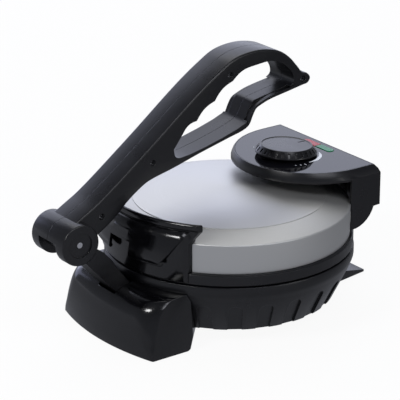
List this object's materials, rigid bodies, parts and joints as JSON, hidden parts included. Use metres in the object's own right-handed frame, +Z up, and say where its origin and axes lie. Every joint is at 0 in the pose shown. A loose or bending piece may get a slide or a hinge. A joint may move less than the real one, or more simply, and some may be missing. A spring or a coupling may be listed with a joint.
{
  "type": "roti maker",
  "caption": "Round countertop flatbread cooker: fluted bowl base, hinged domed steel lid with a thermostat housing, and a folding press lever on a front link.",
  "frame": {"origin": "centre of the bounding box's foot, on the table", "axes": "+Z up, -Y to the front, where the lever's drum is, +X to the user's right when facing +Y"},
  "size_m": [0.232, 0.3454, 0.2456],
  "materials": {
    "satin_black_plastic": "moulded, satin",
    "gloss_black_plastic": "moulded, polished",
    "grey_panel": "moulded, glossy dark bluish grey",
    "brushed_steel": "spun and brushed round its centre",
    "bare_steel": "plain bright steel",
    "dark_steel": "dark plated sheet and sheathed tube",
    "coated_aluminium": "cast aluminium under a dark satin non-stick coating",
    "rubber": "moulded, matt",
    "ceramic_white": "unglazed white ceramic",
    "lens_red": "clear red, polished",
    "lens_green": "clear green, polished",
    "lamp_glass": "small clear bulb"
  },
  "bodies": {
    "base": {"base_shell": "satin_black_plastic", "base_cover": "dark_steel", "front_pedestal": "gloss_black_plastic", "pedestal_floor": "satin_black_plastic", "rear_foot": "satin_black_plastic", "front_pad_left": "rubber", "front_pad_right": "rubber", "rear_pad_left": "rubber", "rear_pad_right": "rubber", "cord_gland": "rubber", "terminal_block": "ceramic_white", "lower_heat_shield": "bare_steel", "lower_plate": "coated_aluminium", "lower_element": "dark_steel", "link_pin": "bare_steel"},
    "lid": {"lid_shell": "brushed_steel", "lid_ring": "satin_black_plastic", "lid_grip": "gloss_black_plastic", "control_housing": "satin_black_plastic", "control_panel": "grey_panel", "indicator_green": "lens_green", "indicator_red": "lens_red", "lamp_red": "lamp_glass", "lamp_green": "lamp_glass", "thermostat_body": "ceramic_white", "upper_heat_shield": "bare_steel", "upper_plate": "coated_aluminium", "upper_element": "dark_steel", "hinge_pin_left": "bare_steel", "hinge_pin_right": "bare_steel"},
    "knob": {"knob": "satin_black_plastic", "thermostat_shaft": "bare_steel"},
    "link": {"link_arm": "satin_black_plastic"},
    "lever": {"lever_right": "satin_black_plastic", "lever_left": "satin_black_plastic", "lever_axle": "bare_steel", "lever_screw_1": "bare_steel", "lever_screw_2": "bare_steel", "lever_screw_3": "bare_steel", "lever_screw_4": "bare_steel"}
  },
  "joints": [
    {"name": "lid_hinge", "type": "hinge", "parent": "base", "child": "lid", "pos_m": [0, 0.14325, 0.079], "axis": [-1, 0, 0], "range_deg": [0, 83.2]},
    {"name": "link_pivot", "type": "hinge", "parent": "base", "child": "link", "pos_m": [0, -0.10025, 0.0475], "axis": [1, 0, 0], "range_deg": [-12, 0]},
    {"name": "lever_pivot", "type": "hinge", "parent": "link", "child": "lever", "pos_m": [0, -0.15395, 0.1058], "axis": [1, 0, 0], "range_deg": [0, 104]},
    {"name": "knob_turn", "type": "hinge", "parent": "lid", "child": "knob", "pos_m": [0, 0.09175, 0.1318], "axis": [0, 0.0523, 0.9986], "range_deg": [-280, 0]}
  ],
  "couplings": [
    {"joint": "lid_hinge", "follows": "lever_pivot", "ratio": 0.8}
  ]
}
